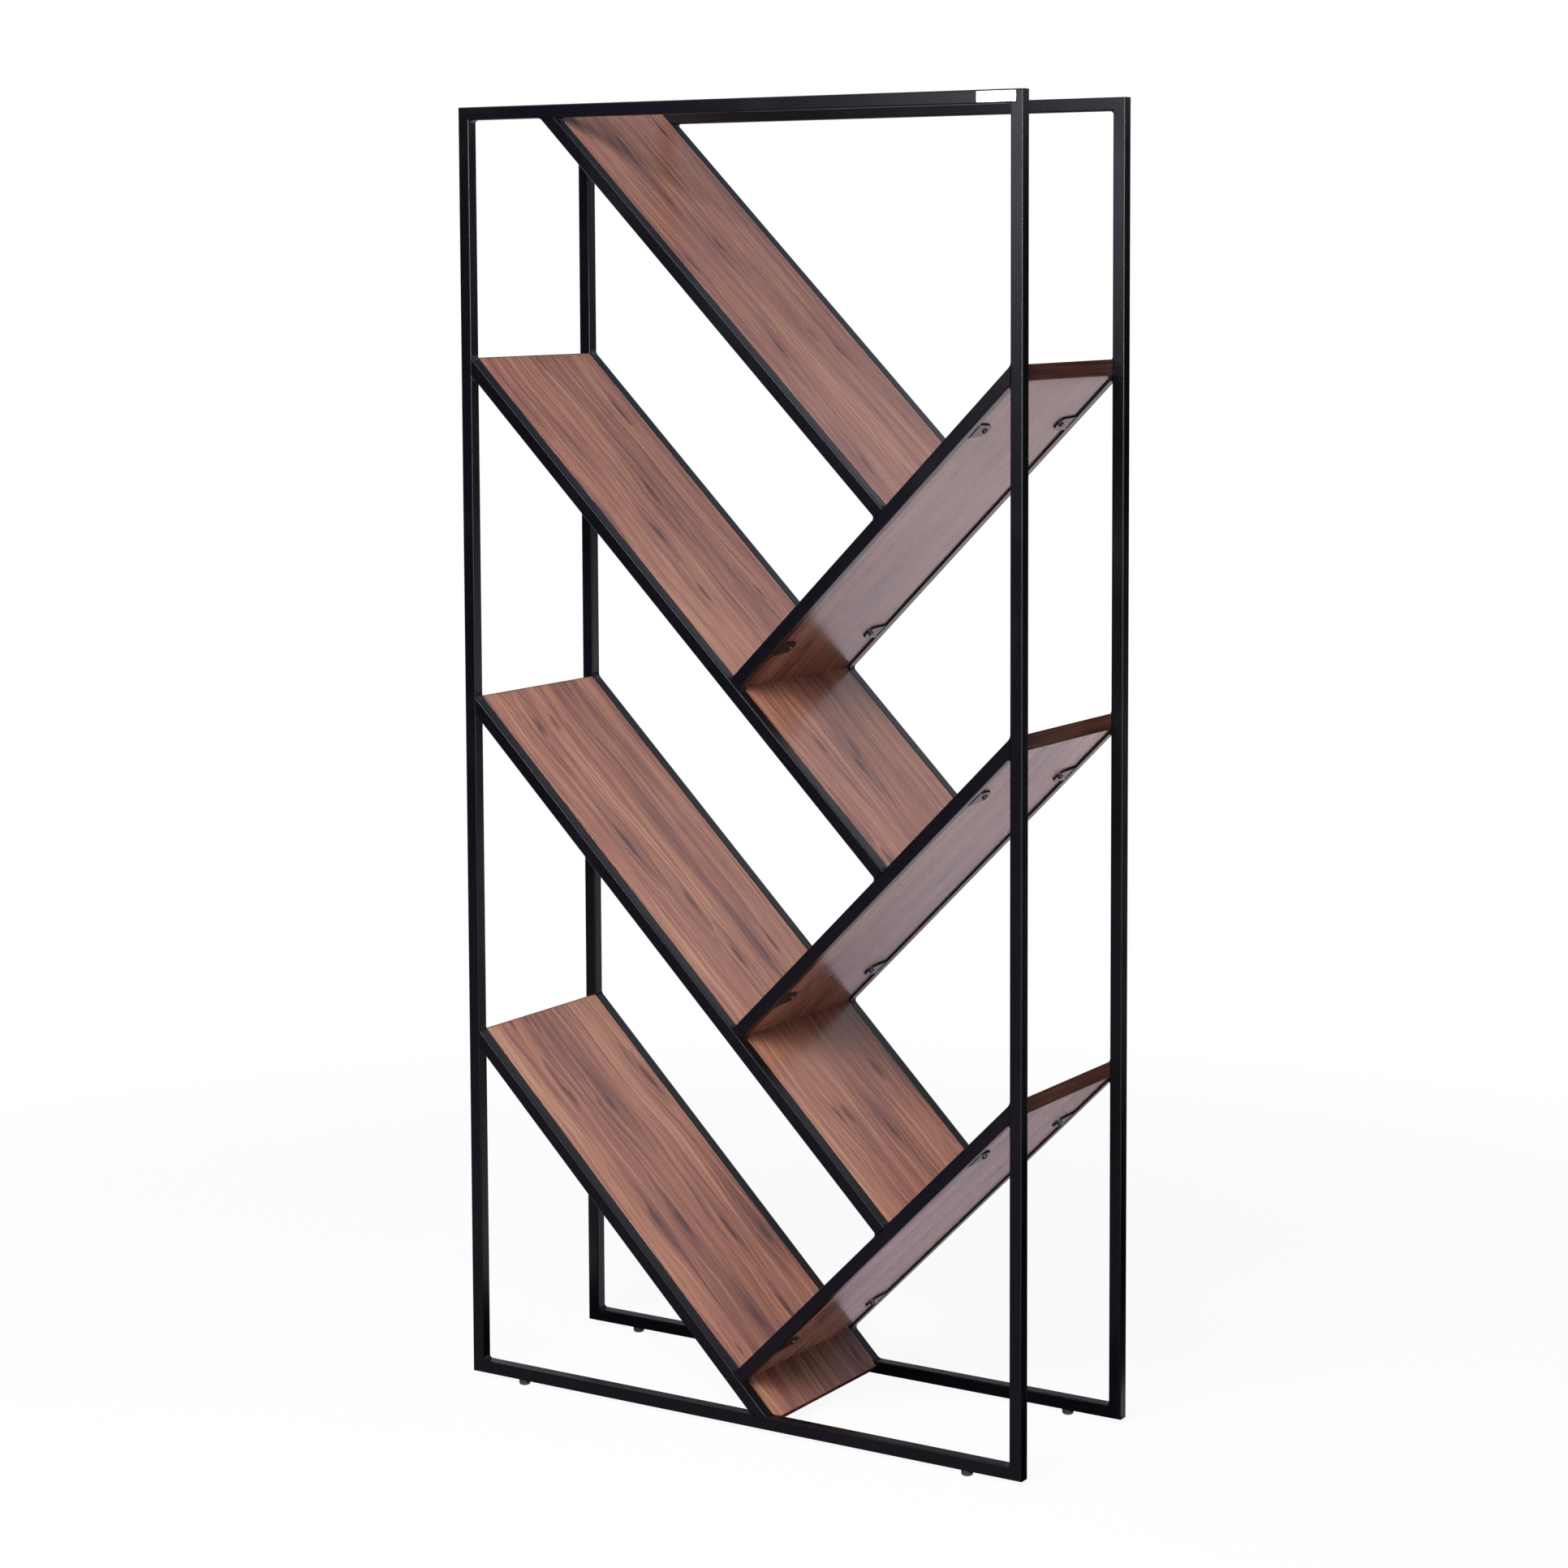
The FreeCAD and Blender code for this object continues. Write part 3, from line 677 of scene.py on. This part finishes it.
class SHELF_OT_set_stage(bpy.types.Operator):
    """Set up the floor, the light and the camera"""

    bl_idname = "shelf.set_stage"
    bl_label = "Set the stage"
    bl_options = {"REGISTER", "UNDO"}

    def execute(self, context):
        scene = context.scene
        studio = scene.zigzag_shelf.studio
        scene.view_settings.view_transform = "Standard"
        self.world(scene, studio)
        self.cards(studio)
        self.lamps()
        self.camera(scene, studio)
        return {"FINISHED"}

    def world(self, scene, studio):
        """White to the camera and in gloss, dim as a light."""
        scene.world = bpy.data.worlds.new("studio")
        scene.world.use_nodes = True
        scene.world.node_tree.nodes.clear()
        shade = Shade(scene.world.node_tree)
        strength = studio.ambient + seen_directly(shade) * (1.0 - studio.ambient)
        backdrop = shade.node("ShaderNodeBackground", None, {"Color": (*WHITE, 1.0), "Strength": strength})
        shade.node("ShaderNodeOutputWorld", None, {"Surface": backdrop})

    def cards(self, studio):
        """The floor, and cards that show in gloss alone.

        Each row gives a card's middle, the point that it faces, its width, its height and its tone. A
        card on the floor faces a point that is a hair off plumb, so that its sides follow X and Y.
        """
        flat_card("studio_floor", (0, 0, 0), (0, 1e-6, 1), 60, 60, floor_paint(studio))
        black = card_paint("black_card", (0.0, 0.0, 0.0))
        dim = card_paint("dim_card", (0.22, 0.17, 0.23))
        grey = card_paint("grey_card", (0.20, 0.27, 0.38))
        pale = card_paint("pale_card", (0.84, 0.76, 0.86))
        white = card_paint("white_card", (1.42, 1.23, 1.33))
        cool = card_paint("cool_card", (0.80, 0.84, 0.95))
        middling = card_paint("middling_card", (0.56, 0.50, 0.58))
        for name, centre, facing, width, height, tone in (
                ("front_flag", (-2.4, -3.4, 1.85), (0, 0, 1.85), 7.0, 4.7, black),
                ("front_floor_flag", (-1.6, -1.9, 0.004), (-1.6, -1.901, 1), 4.6, 3.49, dim),
                ("side_flag", (1.75, 1.2, 0.95), (1.75, 0, 0.95), 2.0, 1.9, black),
                ("side_floor_flag", (2.0, 1.6, 0.004), (2.0, 1.601, 1), 3.0, 4.2, black),
                # painted shade: a black card in the shelf's footprint stands, in gloss, for the floor
                # shaded under the shelf
                ("under_shelf_shade_card", (0.0, 0.0025, 0.004), (0.0, 0.0035, 1), 1.2, 0.315, black),
                ("back_low_flag", (-0.35, 3.0, 1.43), (-0.35, 0, 1.43), 5.1, 1.25, black),
                ("back_strip_card", (1.55, 2.99, 1.70), (1.55, 0, 1.70), 1.3, 0.26, middling),
                ("back_left_card", (-1.325, 3.0, 3.03), (-1.325, 0, 3.03), 3.15, 1.94, grey),
                ("back_right_card", (1.225, 3.0, 2.78), (1.225, 0, 2.78), 1.94, 1.44, cool),
                ("back_floor_card", (-0.5, 1.575, 0.004), (-0.5, 1.576, 1), 1.98, 0.75, pale),
                ("far_floor_card", (-0.245, 2.675, 0.006), (-0.245, 2.676, 1), 2.49, 1.45, white),
                ("ceiling_flag", (-0.6, 3.0, 5.1), (-0.6, 0, 5.1), 4.6, 2.2, black),
                ("near_floor_card", (-0.5, 0.68, 0.004), (-0.5, 0.681, 1), 1.98, 1.04, middling)):
            card = flat_card(name, centre, facing, width, height, tone)
            card.visible_camera = False
            card.visible_diffuse = False
            card.visible_shadow = False
            card.visible_transmission = False

    def lamps(self):
        """Two softboxes that light the shelf, and three lamps that show in gloss alone."""
        softbox("overhead_softbox", (0.4, 0.3, 4.2), (0, 0, 0.6), 3.0, 2.4, 0.35)
        softbox("key_softbox", (0.6, -3.6, 2.9), (0, 0, 0.8), 2.6, 2.0, 23.6, mirrored=False)
        cold, cool = (0.84, 0.86, 1.0), (0.94, 0.92, 1.0)
        softbox("front_gleam", (-0.65, -2.8, 2.0), (0.2, 0, 1.7), 0.7, 0.8, 7.0, cold, lighting=False)
        softbox("corner_gleam", (3.3, -3.1, 2.1), (0, 0, 1.6), 0.6, 1.6, 60.0, cool, lighting=False)
        softbox("ridge_gleam", (0.0, -3.6, 2.9), (0, 0, 0.8), 0.4, 1.2, 30.0, cool, lighting=False)

    def camera(self, scene, studio):
        """The photograph's camera, turned by its yaw, its pitch and its roll in that order."""
        yaw, pitch, roll = studio.camera_yaw, studio.camera_pitch, studio.camera_roll
        flat = math.cos(pitch)
        ahead = Vector((-math.sin(yaw) * flat, math.cos(yaw) * flat, -math.sin(pitch)))
        level = Vector((math.cos(yaw), math.sin(yaw), 0.0))
        upright = level.cross(ahead)
        right = math.cos(roll) * level + math.sin(roll) * upright
        up = math.cos(roll) * upright - math.sin(roll) * level
        lens = bpy.data.cameras.new("camera")
        lens.sensor_width = SENSOR_WIDTH
        lens.lens = studio.focal_pixels * SENSOR_WIDTH / PHOTO_WIDTH
        lens.shift_y = (studio.axis_row - PHOTO_WIDTH / 2) / PHOTO_WIDTH
        camera = bpy.data.objects.new("camera", lens)
        turn = Matrix((right, up, -ahead)).transposed().to_4x4()
        camera.matrix_world = Matrix.Translation(studio.camera_place) @ turn
        scene.collection.objects.link(camera)
        scene.camera = camera


OPERATORS = (SHELF_OT_coat_frames, SHELF_OT_veneer_boards, SHELF_OT_band_ends, SHELF_OT_plate_fasteners,
             SHELF_OT_mould_glides, SHELF_OT_cut_threads, SHELF_OT_bead_tabs, SHELF_OT_fix_plate,
             SHELF_OT_set_stage)


class SHELF_PT_panel(bpy.types.Panel):
    """Lists the operators that dress the shelf"""

    bl_idname = "SHELF_PT_panel"
    bl_label = "Zigzag bookshelf"
    bl_space_type = "VIEW_3D"
    bl_region_type = "UI"
    bl_category = "Shelf"

    def draw(self, context):
        for operator in OPERATORS:
            self.layout.operator(operator.bl_idname)


CLASSES = (SteelFinish, WalnutFinish, Fittings, Studio, ShelfProperties, *OPERATORS, SHELF_PT_panel)


def register():
    """Add the classes, and the shelf's properties to the scene."""
    for item in CLASSES:
        bpy.utils.register_class(item)
    bpy.types.Scene.zigzag_shelf = bpy.props.PointerProperty(type=ShelfProperties)


def unregister():
    """Take them out again."""
    del bpy.types.Scene.zigzag_shelf
    for item in reversed(CLASSES):
        bpy.utils.unregister_class(item)


def main():
    """Dress the shelf."""
    register()
    for operator in OPERATORS:
        group, name = operator.bl_idname.split(".")
        getattr(getattr(bpy.ops, group), name)()


if __name__ == "__main__":
    main()
